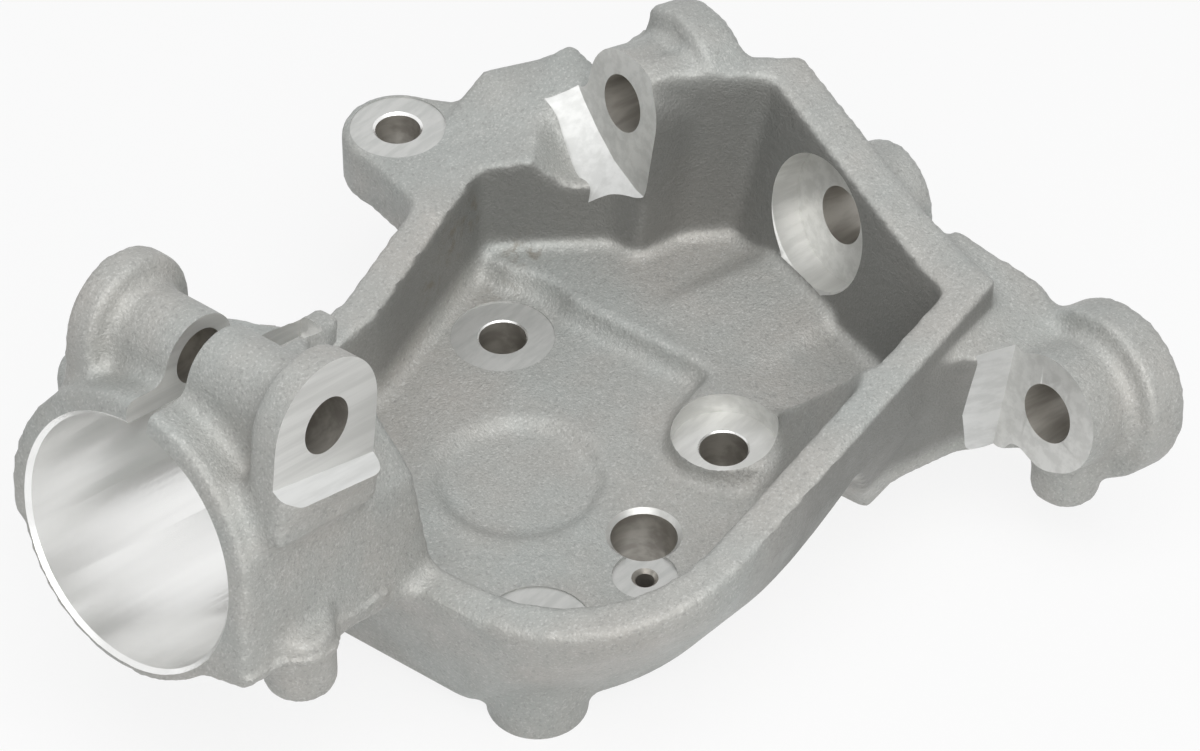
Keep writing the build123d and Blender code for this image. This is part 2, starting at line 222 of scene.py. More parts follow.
def frame_of(point, x, y, z):
    """A seat's frame from its origin and its three directions."""
    return Matrix.Translation(point) @ Matrix((x, y, z)).transposed().to_4x4()


def leaning(point, plan_angle, tilt):
    """Axis that runs towards +X and drops by tilt: origin, x to the +Y side, y up, z along."""
    a, t = math.radians(plan_angle), math.radians(tilt)
    z = Vector((math.cos(a) * math.cos(t), math.sin(a) * math.cos(t), -math.sin(t)))
    x = Vector((-math.sin(a), math.cos(a), 0.0))
    return frame_of(point, x, z.cross(x), z)


def standing(x, y):
    """A seat that stands upright at a place in the plan."""
    return Matrix.Translation((x, y, 0))


strut = leaning((-118.0, 30.0, 79.0), plan_angle=-4.3, tilt=11.5)
strut_x, strut_y, strut_z = (strut.to_3x3() @ Vector(v) for v in ((1, 0, 0), (0, 1, 0), (0, 0, 1)))
pinch_z = (strut_x - strut_y * math.tan(math.radians(PINCH_LEAN))).normalized()
pinch_x = (strut_z - pinch_z * strut_z.dot(pinch_z)).normalized()
pinch_point = strut @ Vector((0, PINCH_HEIGHT, PINCH_ALONG))
pinch = frame_of(pinch_point, pinch_x, pinch_z.cross(pinch_x), pinch_z)

upper_stud = leaning((94.0, 35.7, 75.0), plan_angle=-18.6, tilt=8.7)
middle_stud = leaning((109.3, -26.5, 56.5), plan_angle=-18.7, tilt=8.7)
arm_stud = leaning((84.0, -108.7, 48.0), plan_angle=-13.7, tilt=8.7)

hub = standing(0, 0)
hub_bolts = [(sx * HUB_HALF_X, sy * HUB_HALF_Y) for sx in (1, -1) for sy in (1, -1)]
front_bolt = hub_bolts[1]
ears = ((64.0, 90.0), (-56.0, 88.0))
sensor = Vector((2.0, -39.0))
sensor_screw = Vector((-10.0, -48.0))
print("strut axis", [round(v, 3) for v in strut_z], "pinch bolt axis", [round(v, 3) for v in pinch_z])

# %% [markdown]
# ## From sharp solid to soft casting
# A casting has no sharp inside corners, because metal has to flow round them, and no sharp
# outside ones, because the mould would crumble. Bevels could be set edge by edge, but on a
# form where thirty lumps meet, that breaks. A level set is sturdier: the solid becomes a
# grid of distances to its skin. Growing the form and shrinking it again fills the inside
# corners with a round fillet; shrinking and growing rounds the outside edges.

# %% The grid of distances
GRAIN = 1.0
MARGIN = 12.0
SPARE = 3.0
low = np.array([v / MM for v in cad_box[0]]) - MARGIN
high = np.array([v / MM for v in cad_box[1]]) + MARGIN
cells = tuple(int(n) for n in np.ceil((high - low) / GRAIN))


def distances(points, tris=None, quads=None, reach=4.0):
    """Distance to a closed skin at every cell, cut off at reach, in millimetres."""
    grid = openvdb.FloatGrid.createLevelSetFromPolygons(
        (points - low).astype(np.float32),
        triangles=tris,
        quads=quads,
        transform=openvdb.createLinearTransform(voxelSize=GRAIN),
        halfWidth=reach / GRAIN,
    )
    out = np.empty(cells, np.float32)
    grid.copyToArray(out)
    return out


def skin(field, level=0.0):
    """Points and quads of the surface where the field has that level."""
    grid = openvdb.FloatGrid(float(field.max()))
    grid.copyFromArray(field)
    grid.transform = openvdb.createLinearTransform(voxelSize=GRAIN)
    grid.gridClass = openvdb.GridClass.LEVEL_SET
    points, quads = grid.convertToQuads(isovalue=level)
    return points + low, quads


def grow_and_shrink(field, amount):
    """Fillets inside corners when amount is positive, rounds outside edges when negative."""
    reach = abs(amount) + SPARE
    points, quads = skin(field)
    grown = distances(points, quads=quads, reach=reach)
    points, quads = skin(grown, amount)
    back = distances(points, quads=quads, reach=reach)
    return back + amount


print("grid of", cells, "cells,", GRAIN, "mm each")

# %% [markdown]
# ## Metal added in the grid
# In a grid of distances, two bodies are joined by keeping the smaller number in each cell.
# That never fails where faces lie in one plane, which is where joining meshes often does.
# Only the cells round the added metal are worked on, to keep it quick.

# %% Rods and blocks of metal


def near(middle, span):
    """The block of cells round a point, with the coordinates of its cells."""
    first = [max(int((middle[i] - span - low[i]) / GRAIN), 0) for i in range(3)]
    last = [min(int((middle[i] + span - low[i]) / GRAIN) + 2, cells[i]) for i in range(3)]
    block = tuple(slice(a, b) for a, b in zip(first, last))
    axes = [np.arange(first[i], last[i], dtype=np.float32) * GRAIN + low[i] for i in range(3)]
    return block, np.meshgrid(*axes, indexing="ij")


def seat_coordinates(frame4, grid3):
    """The same coordinates in a seat's own frame."""
    inv = frame4.inverted()
    return [grid3[0] * inv[i][0] + grid3[1] * inv[i][1] + grid3[2] * inv[i][2] + inv[i][3] for i in range(3)]


def keep_beyond(body, grid3, limits):
    """Cuts a body off at planes, each a point and the direction in which metal is kept."""
    for point, normal in limits:
        body = np.maximum(body, -sum((grid3[i] - point[i]) * normal[i] for i in range(3)))
    return body


def add_rod(field, frame4, radius, start, end, limits=()):
    """Adds a round bar along a seat's axis."""
    middle = Vector((0, 0, (start + end) / 2))
    block, grid3 = near(frame4 @ middle, math.hypot(radius, (end - start) / 2) + SPARE)
    x, y, z = seat_coordinates(frame4, grid3)
    bar = np.maximum(np.hypot(x, y) - radius, np.maximum(start - z, z - end))
    field[block] = np.minimum(field[block], keep_beyond(bar, grid3, limits))


def add_block(field, frame4, first, last, limits=()):
    """Adds a box between two corners in a seat's own frame."""
    middle = [(a + b) / 2 for a, b in zip(first, last)]
    half = [(b - a) / 2 for a, b in zip(first, last)]
    block, grid3 = near(frame4 @ Vector(middle), math.sqrt(sum(h * h for h in half)) + SPARE)
    away = [np.abs(c - m) - h for c, m, h in zip(seat_coordinates(frame4, grid3), middle, half)]
    box = np.maximum(np.maximum(away[0], away[1]), away[2])
    field[block] = np.minimum(field[block], keep_beyond(box, grid3, limits))


def direction(x, y, z, frame4=None):
    """A unit direction, turned from a seat's frame if one is given."""
    way = Vector((x, y, z))
    return (frame4.to_3x3() @ way if frame4 else way).normalized()


mesh = solid.data
mesh.calc_loop_triangles()
corners = np.empty(len(mesh.vertices) * 3, np.float32)
mesh.vertices.foreach_get("co", corners)
triangles = np.empty(len(mesh.loop_triangles) * 3, np.int32)
mesh.loop_triangles.foreach_get("vertices", triangles)
form = distances(corners.reshape(-1, 3) / MM, tris=triangles.reshape(-1, 3))
print("solid in the grid, from", len(mesh.loop_triangles), "triangles")

# %% [markdown]
# ## Blank of the strut clamp
# The bore, the slot and the pinch bolt's hole are cut after casting, so they must not be
# rounded with the rest. They are plugged while the skin is softened. The near pinch boss has
# a little stock on its flat face, and a foot under it where the mill runs out.

# %% Plug the clamp
PINCH_BOSS = 17.8
PINCH_FLAT = -38.5
PINCH_STOCK = PINCH_FLAT - 3.0
FOOT_FRONT = PINCH_FLAT - 5.0

add_rod(form, strut, radius=34.6, start=0.0, end=62.0)
add_block(form, strut, (-4.0, 30.0, 0.0), (4.0, 39.6, 68.0))
add_block(form, pinch, (-11.3, 0.0, -4.0), (11.3, 9.0, 4.0))
add_rod(form, pinch, radius=11.4, start=-4.0, end=4.0)
add_rod(form, pinch, radius=8.5, start=PINCH_FLAT, end=32.0)
add_rod(form, pinch, radius=PINCH_BOSS, start=PINCH_STOCK, end=-36.0)
add_block(form, pinch, (-PINCH_BOSS, 0.0, PINCH_STOCK), (PINCH_BOSS, 27.0, -36.0))
foot_slope = pinch @ Vector((0.0, 17.0, FOOT_FRONT)), direction(0.0, -7.5, 17.0, pinch)
add_block(form, pinch, (-13.5, 9.0, FOOT_FRONT), (16.5, 36.0, -32.0), limits=[foot_slope])
print("clamp plugged")

# %% [markdown]
# ## Blank of the ball stud seats
# The upper stud's seat is milled into a shoulder of metal that leans against the back wall,
# and the mill leaves a bright slope there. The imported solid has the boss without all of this
# shoulder, so it is added here, as blocks that sloping planes cut off. The holes are plugged,
# and the two flats get 3 mm of stock.

# %% Plug the stud seats
STOCK = -3.0
STUD_END = 27.5

add_rod(form, upper_stud, radius=15.5, start=STOCK, end=STUD_END)
add_block(form, upper_stud, (-15.5, -20.0, STOCK), (15.5, 0.0, 2.0))
ramp_normal = direction(0.198, -0.691, 0.696)
ramp = Vector((68.0, 52.5, 66.0)) - ramp_normal * 1.5, ramp_normal
roof_normal = direction(0.28, 0.0, -1.0)
shoulder_roof = Vector((92.0, 80.0, 66.6)), roof_normal
rear_roof = shoulder_roof[0] - Vector((0.0, 0.0, 3.0)), roof_normal
lump_front = upper_stud @ Vector((-13.0, 0.0, -0.5)), direction(10.0, 0.0, 37.0, upper_stud)
add_block(form, upper_stud, (-14.0, -44.0, -12.0), (34.0, -1.5, 8.0),
          limits=[lump_front, shoulder_roof, ramp])
add_block(form, Matrix.Identity(4), (90.0, 40.0, 52.0), (108.0, 64.0, 66.0), limits=[rear_roof])

add_rod(form, arm_stud, radius=16.5, start=STOCK, end=STUD_END)

end_wall_normal = leaning((0, 0, 0), plan_angle=-18.7, tilt=11.0).to_3x3() @ Vector((0, 0, 1))
end_wall = Vector((93.77, -31.74, 34.0)), end_wall_normal
add_rod(form, middle_stud, radius=9.0, start=1.0, end=18.5)
add_rod(form, middle_stud, radius=19.8, start=-14.0, end=1.0, limits=[end_wall])
print("stud seats plugged")

# %% [markdown]
# ## Blank of the hub face, the ears and the sensor seat
# The hub face and its pilot recess are turned on the real line, and each bolt hole has a
# flat pad round its mouth. Plugs fill them all, so that the cutters can find full metal.

# %% Plug the upright seats
HUB_BOSS = 13.25

for x, y in hub_bolts:
    add_rod(form, standing(x, y), radius=HUB_BOSS, start=STOCK, end=27.5)
add_rod(form, standing(*front_bolt), radius=14.7, start=20.0, end=34.0)
add_rod(form, hub, radius=41.0, start=0.5, end=17.0)
for x, y in ears:
    add_rod(form, standing(x, y), radius=7.0, start=42.0, end=60.0)
add_rod(form, standing(*sensor), radius=10.5, start=17.0, end=28.0)
add_rod(form, standing(*sensor_screw), radius=8.8, start=12.0, end=28.0)
print("blank ready")

# %% [markdown]
# ## Rounds, fillets and the parting ridge
# The bowl's floor has low steps that a wide fillet would drown, so it gets a tighter one.
# A faint ridge runs along the clamp's side where the halves of the mould met. It could be
# drawn in the bump, but a real ridge catches light from every side.

# %% Soften the blank
WALL_FILLET, FLOOR_FILLET, EDGE_ROUND = 2.8, 1.6, 1.4
RIDGE_HALF, RIDGE_HEIGHT = 0.9, 1.1


def on_bowl_floor(x, y, z):
    """The cells in which the floor, its steps and the low part of its walls lie."""
    return (z > 24.0) & (z < 52.0) & (x > -52.0) & (x < 96.0) & (y > -48.0) & (y < 56.0)


def parting_ridge(field):
    """Raises a narrow ridge on the clamp's side, along a line that falls towards +X."""
    block, (x, y, z) = near((-98.0, -10.0, 58.0), 40.0)
    off_line = np.abs(z - 61.9 + 0.15 * (x + 122.9)) - RIDGE_HALF
    off_side = np.maximum(np.maximum(x + 74.0, -124.0 - x), y - 2.0)
    ridge = np.maximum(np.maximum(off_line, field[block] - RIDGE_HEIGHT), off_side)
    field[block] = np.minimum(field[block], ridge)


cast_form = grow_and_shrink(form, WALL_FILLET)
floor_form = grow_and_shrink(form, FLOOR_FILLET)
block, grid3 = near((22.0, 6.0, 38.0), 88.0)
inside = on_bowl_floor(*grid3)
cast_form[block][inside] = floor_form[block][inside]
cast_form = grow_and_shrink(cast_form, -EDGE_ROUND)
parting_ridge(cast_form)
points, quads = skin(cast_form)
print("soft casting:", len(quads), "quads")

# %% [markdown]
# ## A thinner net for the same skin
# The level set comes out as an even net of small squares, more than the eye needs on flat
# walls. Collapsing edges where the skin is nearly flat keeps the rounds and loses nothing.

# %% Mesh of the blank
THINNING = 0.36


def mesh_from(name, points, faces):
    """A Blender mesh, in metres, from points in millimetres."""
    data = bpy.data.meshes.new(name)
    data.from_pydata((points * MM).tolist(), [], faces.tolist())
    data.update()
    return data


def bake(thing):
    """Replaces an object's mesh by the result of its modifiers."""
    graph = bpy.context.evaluated_depsgraph_get()
    result = bpy.data.meshes.new_from_object(thing.evaluated_get(graph))
    thing.modifiers.clear()
    thing.data = result


casting = bpy.data.objects.new("knuckle", mesh_from("knuckle", points, quads[:, ::-1]))
bpy.context.scene.collection.objects.link(casting)
thin = casting.modifiers.new("thin", "DECIMATE")
thin.ratio = THINNING
bake(casting)
print("after thinning:", len(casting.data.polygons), "faces")

# %% [markdown]
# ## The machining
# Each cutter is a plain body on its seat's own axis, as the tool on the real line would be:
# a boring bar, a slot saw, drills, and face mills that sweep a flat. Cutting the softened
# blank with them leaves the bright edges sharp against the soft skin. Every cutter's faces
# carry the mark of the finish that they leave.

# %% Cutters
ROUND = 112
BORED, PAD, FLAT_PAINTED_LIGHT, RUN_OUT, DRILLED = 1, 2, 3, 4, 5
cutters = []


def turned(frame4, outline, finish=BORED):
    """A cutter turned about a seat's axis from (radius, along) pairs, both ends closed."""
    verts, faces = [], []
    for radius, along in outline:
        for k in range(ROUND):
            angle = 2 * math.pi * k / ROUND
            verts.append(frame4 @ Vector((radius * math.cos(angle), radius * math.sin(angle), along)))
    for ring in range(len(outline) - 1):
        for k in range(ROUND):
            a, b = ring * ROUND + k, ring * ROUND + (k + 1) % ROUND
            faces.append((a, b, b + ROUND, a + ROUND))
    faces.append(tuple(reversed(range(ROUND))))
    faces.append(tuple(range((len(outline) - 1) * ROUND, len(outline) * ROUND)))
    cutters.append((verts, faces, [finish] * len(faces)))


def milled(frame4, mouth, start, flat, end):
    """A cutter that leaves a flat; its side walls are the bright run-outs of the tool."""
    n = len(flat)
    verts = [frame4 @ Vector((x, y, start)) for x, y in mouth]
    verts += [frame4 @ Vector((x, y, end)) for x, y in flat]
    sides = [(k, (k + 1) % n, n + (k + 1) % n, n + k) for k in range(n)]
    faces = [tuple(reversed(range(n)))] + sides + [tuple(range(n, 2 * n))]
    cutters.append((verts, faces, [FLAT_PAINTED_LIGHT] + [RUN_OUT] * n + [FLAT_PAINTED_LIGHT]))


def sawn(frame4, outline, start, end):
    """A straight cutter, between two distances along a seat's axis, with one finish all over."""
    milled(frame4, outline, start, outline, end)
    verts, faces, marks = cutters.pop()
    cutters.append((verts, faces, [FLAT_PAINTED_LIGHT] * len(marks)))


def drilled(frame4, radius, start, end):
    """A plain hole, painted darker inside than a bored one, as painted shade."""
    turned(frame4, [(radius, start), (radius, end)], DRILLED)


def box_outline(x0, y0, x1, y1):
    """The corners of a rectangle."""
    return [(x0, y0), (x1, y0), (x1, y1), (x0, y1)]


print("cutters are", ROUND, "sided")

# %% [markdown]
# ## Cutting the strut clamp
# The clamp is bored with a small chamfer at its mouth and sawn through at the top. The near
# pinch boss gets a flat for the bolt's head, and the mill leaves a bright slope below it.

# %% Strut clamp
STRUT_BORE, BORE_CHAMFER, BORE_END = 33.5, 1.2, 76.0
SLOT_HALF, SLOT_END = 3.5, 61.0
PINCH_HOLE, PINCH_REACH = 7.5, 60.0

turned(strut, [(STRUT_BORE + 2 * BORE_CHAMFER, -BORE_CHAMFER), (STRUT_BORE + BORE_CHAMFER, 0.0),
               (STRUT_BORE, BORE_CHAMFER), (STRUT_BORE, BORE_END)])
# The slot's sawn walls take the paler flat tone, which is painted light in their shade.
sawn(strut, box_outline(-SLOT_HALF, 5.0, SLOT_HALF, 70.0), -8.0, SLOT_END)
drilled(pinch, PINCH_HOLE, -PINCH_REACH, PINCH_REACH)
pinch_mouth = [(-24.0, -24.0), (24.0, -24.0), (24.0, 24.0), (-24.0, 20.0)]
pinch_flat = [(-21.0, -21.0), (21.0, -21.0), (21.0, 15.5), (-21.0, 10.5)]
milled(pinch, pinch_mouth, PINCH_FLAT - 11.0, pinch_flat, PINCH_FLAT)
print("cutters so far:", len(cutters))

# %% [markdown]
# ## Cutting the ball stud seats
# The upper and the arm stud stand on flats with a bright run-out beside them; the middle one
# sits in a shallow round seat in the end wall. The upper run-out is curved, so its cutter
# has a curved side: one outline where it enters the metal, a smaller one on the flat.

# %% Ball stud seats
STUD_HOLE, STUD_CHAMFER, HOLE_END = 8.2, 1.2, 40.0
MIDDLE_SEAT, MIDDLE_MOUTH = 19.3, -8.6

upper_mouth = [(-26, -33), (-18, -33), (-3, -28.5), (9.5, -23.0), (18.4, -13.2), (25, -7.5),
               (36, 2), (36, 30), (-26, 30)]
upper_flat = [(-19, -21.4), (-11.3, -21.5), (-0.3, -18.7), (8.4, -14.2), (16.2, -9.1), (19.8, -6),
              (30, 2), (30, 30), (-19, 30)]
milled(upper_stud, upper_mouth, -9.0, upper_flat, 0.0)
drilled(upper_stud, STUD_HOLE, -30.0, HOLE_END)

arm_mouth = [(-29, -29), (18.0, -29), (17.8, 0), (17.6, 29), (-29, 29)]
arm_flat = [(-27, -27), (15.4, -27), (15.2, 0), (15.0, 27), (-27, 27)]
milled(arm_stud, arm_mouth, -12.0, arm_flat, 0.0)
turned(arm_stud,
       [(STUD_HOLE + STUD_CHAMFER, -STUD_CHAMFER), (STUD_HOLE, 0.0), (STUD_HOLE, HOLE_END)], DRILLED)

turned(middle_stud,
       [(MIDDLE_SEAT + 1.0, MIDDLE_MOUTH - 1.0), (MIDDLE_SEAT, MIDDLE_MOUTH), (MIDDLE_SEAT, 0.0)], FLAT_PAINTED_LIGHT)
drilled(middle_stud, STUD_HOLE, -2.0, HOLE_END)
print("cutters so far:", len(cutters))

# %% [markdown]
# ## Cutting the hub face
# The four bosses are cut level, and the hub's pilot turns a round recess between them. The
# sensor's bore has to come out through full metal, so a boss is left standing round it in
# the recess. The recess is one outline: a circle that gives way where the boss is.

# %% Hub bolts, hub face and pilot recess
BOLT_HOLE = 6.5
PAD_TOP = 27.6
HUB_PAD = 14.2
PILOT, PILOT_DEPTH = 40.0, 16.5
SENSOR_BOSS = 11.5


def recess_outline():
    """The pilot's circle, pulled in where the sensor's boss stands in it."""
    outline = []
    for k in range(ROUND):
        angle = 2 * math.pi * k / ROUND
        way = Vector((math.cos(angle), math.sin(angle)))
        along = way.dot(sensor)
        room = SENSOR_BOSS ** 2 - (sensor.length_squared - along ** 2)
        meets_boss = room > 0 and along > 0
        outline.append(tuple(way * (min(PILOT, along - math.sqrt(room)) if meets_boss else PILOT)))
    return outline


for place in hub_bolts:
    sunk = place == front_bolt
    seat = standing(*place)
    # The sunk front bolt's pad takes the paler flat tone, which is painted light.
    turned(seat, [(HUB_PAD, PAD_TOP), (HUB_PAD, 45.0 if sunk else 34.2)], FLAT_PAINTED_LIGHT if sunk else PAD)
    drilled(seat, BOLT_HOLE, -5.0, PAD_TOP - 0.4)
    turned(seat, [(BOLT_HOLE - 0.1, PAD_TOP - 0.5), (BOLT_HOLE + 0.8, PAD_TOP + 0.4)])
sawn(hub, box_outline(-75, -75, 75, 75), -9.0, 0.0)
sawn(hub, recess_outline(), -4.0, PILOT_DEPTH)
print("cutters so far:", len(cutters))

# %% [markdown]
# ## Cutting the ears and the sensor seat
# Each ear has a flat pad and a plain hole for the brake caliper's bolt. The sensor has a
# wide hole with a chamfered mouth, and a small screw hole in a pad beside it.

# %% Ears and sensor
EAR_TOP, EAR_HOLE, EAR_PAD = 59.6, 6.25, 13.25
SENSOR_HOLE, SENSOR_TOP = 8.75, 26.65
SCREW_HOLE, SCREW_TOP = 2.5, 27.0

for place in ears:
    seat = standing(*place)
    turned(seat, [(EAR_PAD, EAR_TOP), (EAR_PAD, 75.0)], PAD)
    drilled(seat, EAR_HOLE, 30.0, EAR_TOP - 0.6)
    turned(seat, [(EAR_HOLE - 0.1, EAR_TOP - 0.8), (EAR_HOLE + 0.95, EAR_TOP + 0.3)])
drilled(standing(*sensor), SENSOR_HOLE, -3.0, SENSOR_TOP + 0.15)
turned(standing(*sensor), [(SENSOR_HOLE - 0.1, SENSOR_TOP), (SENSOR_HOLE + 1.85, SENSOR_TOP + 1.95)], FLAT_PAINTED_LIGHT)
turned(standing(*sensor_screw), [(8.5, SCREW_TOP), (8.5, 34.0)], PAD)
turned(standing(*sensor_screw),
       [(SCREW_HOLE, 12.0), (SCREW_HOLE, SCREW_TOP - 1.0), (SCREW_HOLE + 1.1, SCREW_TOP + 0.1)], DRILLED)
print("cutters so far:", len(cutters))

# %% [markdown]
# ## Running the cutters
# The cuts are made one after another, as on the machining line. One cut with all cutters
# joined would be quicker, but cutters that cross each other spoil it.

# %% Cut
cutter = bpy.data.objects.new("cutter", bpy.data.meshes.new("cutter"))
for verts, faces, finish in cutters:
    data = bpy.data.meshes.new("cutter")
    data.from_pydata([v * MM for v in verts], [], faces)
    data.polygons.foreach_set("material_index", finish)
    data.update()
    cutter.data = data
    cut = casting.modifiers.new("cut", "BOOLEAN")
    cut.operation = "DIFFERENCE"
    cut.solver = "MANIFOLD"
    cut.object = cutter
    before = len(casting.data.polygons)
    bpy.context.scene.collection.objects.link(cutter)
    bake(casting)
    bpy.context.scene.collection.objects.unlink(cutter)
    print("cut", before, "->", len(casting.data.polygons))
bpy.data.objects.remove(cutter)

# %% [markdown]
# ## Which faces are cut
# The mould leaves a grey, faintly sandy skin; the cutters leave bare metal. The two can't
# be told apart by height or slope, but the cut hands on each cutter's mark: 0 is cast skin,
# 1 a bored face, 2 a small pad, 3 a milled flat, whose paler tone is partly painted light, 4 the bright
# slope where the mill ran out of the metal, 5 a drilled hole, painted darker inside as painted shade.

# %% Keep the marks
SHARP_FROM = math.radians(32.0)

faces = casting.data.polygons
marks = np.empty(len(faces), np.int32)
faces.foreach_get("material_index", marks)
casting.data.materials.clear()
casting.data.shade_smooth()
casting.data.set_sharp_from_angle(angle=SHARP_FROM)
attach(casting, "root")
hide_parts("knuckle_casting")
casting.data.calc_loop_triangles()
for number, finish in enumerate(("cast", "bored", "pad", "flat", "run-out", "drilled")):
    print(finish, "faces:", int((marks == number).sum()))
print("triangles:", len(casting.data.loop_triangles))

# %% [markdown]
# ## Wiring a shader in short lines
# A finish is a few noises, steps and mixes wired together. Each could be placed by hand in
# the shader editor, but a small helper for each makes a finish read like a recipe.

# %% Shader helpers


class Nodes:
    """Short way to wire a shader."""

    def __init__(self, name):
        self.material = bpy.data.materials.new(name)
        self.material.use_nodes = True
        self.tree = self.material.node_tree
        self.skin = self.tree.nodes["Principled BSDF"]
        self.place = self.add("ShaderNodeTexCoord").outputs["Object"]

    def add(self, kind, **settings):
        node = self.tree.nodes.new(kind)
        for key, value in settings.items():
            setattr(node, key, value)
        return node

    def link(self, source, target):
        self.tree.links.new(source, target)

    def put(self, target, value):
        """Links a socket, or sets a plain value on its own socket."""
        if isinstance(value, bpy.types.NodeSocket):
            self.link(value, target)
        else:
            target.default_value = value

    def noise(self, scale, detail=2.0, rough=0.5, place=None):
        node = self.add("ShaderNodeTexNoise")
        self.link(place or self.place, node.inputs["Vector"])
        node.inputs["Scale"].default_value = scale
        node.inputs["Detail"].default_value = detail
        node.inputs["Roughness"].default_value = rough
        return node.outputs["Fac"]

    def math(self, operation, a, b=0.0):
        node = self.add("ShaderNodeMath", operation=operation)
        self.put(node.inputs[0], a)
        self.put(node.inputs[1], b)
        return node.outputs[0]

    def step(self, value, low, high):
        """Rises softly from 0 at low to 1 at high."""
        node = self.add("ShaderNodeMapRange", interpolation_type="SMOOTHSTEP")
        self.link(value, node.inputs["Value"])
        node.inputs["From Min"].default_value = low
        node.inputs["From Max"].default_value = high
        return node.outputs["Result"]

    def mix(self, share, a, b):
        node = self.add("ShaderNodeMix", data_type="RGBA")
        self.put(node.inputs[0], share)
        self.put(node.inputs[6], a)
        self.put(node.inputs[7], b)
        return node.outputs[2]

    def cover(self, colour, mask, strength, tone):
        """Lays a tone over a colour where the mask is, up to a strength."""
        return self.mix(self.math("MULTIPLY", mask, strength), colour, (*tone, 1))

    def near_point(self, point, inner, outer):
        """1 inside a ball, falling to 0 at its outer radius; millimetres."""
        node = self.add("ShaderNodeVectorMath", operation="DISTANCE")
        self.link(self.place, node.inputs[0])
        node.inputs[1].default_value = [v * MM for v in point]
        return self.step(node.outputs["Value"], outer * MM, inner * MM)

    def relief(self, height, strength, depth_mm):
        """Fine relief that is too small for the mesh."""
        bump = self.add("ShaderNodeBump")
        self.link(height, bump.inputs["Height"])
        bump.inputs["Strength"].default_value = strength
        bump.inputs["Distance"].default_value = depth_mm * MM
        self.link(bump.outputs["Normal"], self.skin.inputs["Normal"])


print("helpers ready")

# %% [markdown]
# ## The cast skin
# The skin is matt grey with a slow warm and cool drift, soft clouds and a fine shot-blasted
# grain of pale and dark specks. The steep inner walls of the bowl are painted darker, as
# painted shade of the deep cavity, and the back wall has a few brown smears. All of it comes
# from noises and places in millimetres, so it sits on the metal and not on one view.

# %% Cast skin
COOL, WARM = (0.395, 0.412, 0.398, 1), (0.44, 0.425, 0.40, 1)
CLOUD, PALE_SPECK, DARK_SPECK = (0.34, 0.345, 0.33), (0.60, 0.60, 0.58), (0.24, 0.24, 0.23)
# The bowl's inner walls are darkened with painted shade, in this tone and share.
PAINTED_BOWL_SHADE, SMEAR = (0.17, 0.17, 0.16), (0.16, 0.13, 0.09)
BOWL_SHADE_STRENGTH = 0.78
SMEARS = ((45.0, 56.0, 48.0), (55.0, 60.0, 50.0), (33.0, 53.0, 44.0), (66.0, 48.0, 34.0), (52.0, 47.0, 33.0))


def sandy_grey(kit, clouds):
    """Grey that drifts between warm and cool, with clouds and two kinds of speck."""
    drift = kit.step(kit.noise(22.0, detail=3.0, rough=0.55), 0.3, 0.7)
    pale = kit.step(kit.noise(1300.0, detail=2.0, rough=0.6), 0.5, 0.72)
    dark = kit.step(kit.noise(900.0, detail=3.0, rough=0.65), 0.52, 0.70)
    colour = kit.cover(kit.mix(drift, COOL, WARM), clouds, 0.35, CLOUD)
    return kit.cover(kit.cover(colour, pale, 0.55, PALE_SPECK), dark, 0.45, DARK_SPECK)


def shaded_bowl_walls(kit):
    """1 on the steep inner walls of the bowl, where painted shade goes, short of the end wall's outer side
    and the rim.
    """
    axes = kit.add("ShaderNodeSeparateXYZ")
    kit.link(kit.place, axes.inputs[0])
    slopes = kit.add("ShaderNodeSeparateXYZ")
    kit.link(kit.add("ShaderNodeTexCoord").outputs["Normal"], slopes.inputs[0])
    mask = kit.step(kit.math("ABSOLUTE", slopes.outputs["Z"]), 0.75, 0.35)
    to_end_wall = kit.add("ShaderNodeVectorMath", operation="DOT_PRODUCT")
    kit.link(kit.place, to_end_wall.inputs[0])
    to_end_wall.inputs[1].default_value = list(end_wall_normal)
    mask = kit.math("MULTIPLY", mask, kit.step(to_end_wall.outputs["Value"], 0.1035, 0.1005))
    for axis, none, full in (("Y", 68, 60), ("X", -30, 20), ("Z", 30, 38), ("Z", 94, 80)):
        mask = kit.math("MULTIPLY", mask, kit.step(axes.outputs[axis], none * MM, full * MM))
    return mask


def smeared(kit):
    """Blotches round a few places on the back wall; the first smear is the largest."""
    mask = kit.near_point(SMEARS[0], 2.0, 11.0)
    for point in SMEARS[1:]:
        mask = kit.math("MAXIMUM", mask, kit.near_point(point, 1.0, 9.0))
    return kit.math("MULTIPLY", mask, kit.step(kit.noise(260.0, detail=3.0, rough=0.65), 0.46, 0.66))


cast = Nodes("cast_skin")
clouds = cast.step(cast.noise(95.0, detail=4.0, rough=0.6), 0.25, 0.75)
# Painted shade: the steep inner walls of the bowl are darkened here.
colour = cast.cover(sandy_grey(cast, clouds), shaded_bowl_walls(cast), BOWL_SHADE_STRENGTH, PAINTED_BOWL_SHADE)
cast.link(cast.cover(colour, smeared(cast), 0.55, SMEAR), cast.skin.inputs["Base Color"])
cast.skin.inputs["Metallic"].default_value = 0.30
cast.skin.inputs["Specular IOR Level"].default_value = 0.4
gloss = cast.add("ShaderNodeMapRange")
cast.link(clouds, gloss.inputs["Value"])
gloss.inputs["To Min"].default_value = 0.46
gloss.inputs["To Max"].default_value = 0.62
cast.link(gloss.outputs["Result"], cast.skin.inputs["Roughness"])
coarse = cast.math("MULTIPLY", cast.noise(420.0), 0.9)
cast.relief(cast.math("ADD", cast.noise(1500.0, rough=0.6), coarse), strength=0.45, depth_mm=0.6)
casting.data.materials.append(cast.material)
print("cast skin ready")

# %% [markdown]
# ## The machined metal
# Cut aluminium is brighter and glossier than the skin. A lathe leaves rings round a bore, so
# its shine is drawn out along the bore; that is why the tangent is worked out from the strut
# axis. Pale and dark lines drawn out along the same axis are painted into the colour as well:
# painted shine streaks, mixed with some tool-mark grain. Pads, flats, run-outs and holes
# differ only in tone, gloss and how fine their lines are, so one recipe makes them all.

# %% Machined metal
STREAK_STRETCH = 0.06


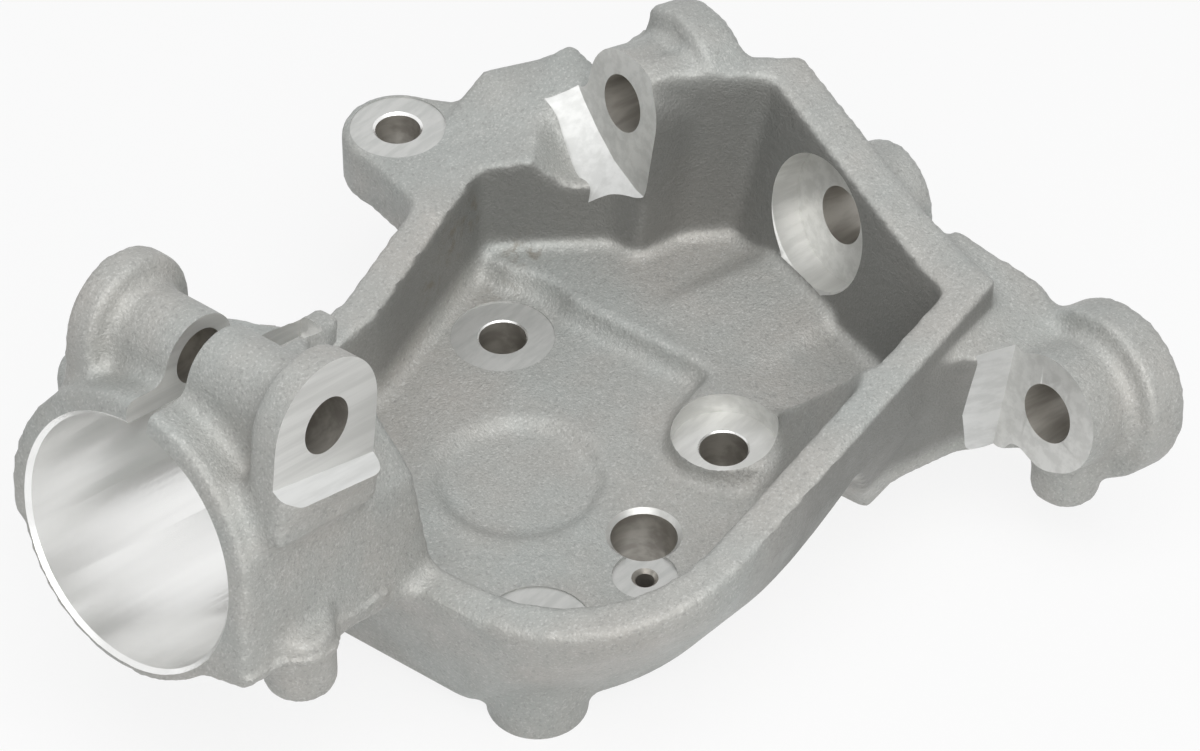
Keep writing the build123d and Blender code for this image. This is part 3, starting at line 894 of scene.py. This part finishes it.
def bare_metal(name, dark, pale, metallic, roughness, anisotropy, streak_scale):
    """Cut metal with fine lines drawn out along the strut axis, the way its shine runs: painted shine
    streaks mixed with some tool-mark grain.
    """
    kit = Nodes(name)
    turn = kit.add("ShaderNodeVectorRotate", rotation_type="EULER_XYZ", invert=True)
    kit.link(kit.place, turn.inputs["Vector"])
    turn.inputs["Rotation"].default_value = strut.to_euler()
    squash = kit.add("ShaderNodeVectorMath", operation="MULTIPLY")
    kit.link(turn.outputs["Vector"], squash.inputs[0])
    squash.inputs[1].default_value = (1.0, 1.0, STREAK_STRETCH)
    # Painted shine streaks: pale and dark lines in the colour, drawn out along the strut axis.
    shine_streak_noise = kit.noise(streak_scale, detail=3.0, rough=0.6, place=squash.outputs["Vector"])
    painted_shine_lines = kit.step(shine_streak_noise, 0.36, 0.64)
    kit.link(kit.mix(painted_shine_lines, (*dark, 1), (*pale, 1)), kit.skin.inputs["Base Color"])
    kit.skin.inputs["Metallic"].default_value = metallic
    kit.skin.inputs["Roughness"].default_value = roughness
    kit.skin.inputs["Anisotropic"].default_value = anisotropy
    along = kit.add("ShaderNodeCombineXYZ")
    for k in range(3):
        along.inputs[k].default_value = strut_z[k]
    kit.link(along.outputs["Vector"], kit.skin.inputs["Tangent"])
    kit.relief(kit.noise(900.0), strength=0.08, depth_mm=0.3)
    casting.data.materials.append(kit.material)


bare_metal("bored_face", dark=(0.86, 0.86, 0.85), pale=(0.95, 0.95, 0.94),
           metallic=0.92, roughness=0.26, anisotropy=0.7, streak_scale=70.0)
bare_metal("small_pad", dark=(0.47, 0.475, 0.46), pale=(0.54, 0.54, 0.525),
           metallic=0.5, roughness=0.42, anisotropy=0.3, streak_scale=420.0)
# Milled flats get a paler tone than the small pads. This is partly painted light: it lifts faces that face
# the front, the slot's sawn walls in shade and the sunk front bolt's pad.
bare_metal("milled_flat_painted_light", dark=(0.62, 0.62, 0.60), pale=(0.72, 0.72, 0.70),
           metallic=0.6, roughness=0.38, anisotropy=0.3, streak_scale=300.0)
bare_metal("run_out", dark=(0.56, 0.565, 0.555), pale=(0.65, 0.655, 0.645),
           metallic=0.4, roughness=0.48, anisotropy=0.3, streak_scale=300.0)
# Drilled holes: the dark inside tone is painted shade.
bare_metal("drilled_hole_painted_shade", dark=(0.33, 0.31, 0.28), pale=(0.48, 0.46, 0.42),
           metallic=0.6, roughness=0.36, anisotropy=0.5, streak_scale=200.0)
casting.data.polygons.foreach_set("material_index", marks)
print("materials:", [m.name for m in casting.data.materials])

# %% Scene settings, sizes and finish
view = bpy.context.scene.view_settings
view.view_transform = "Standard"
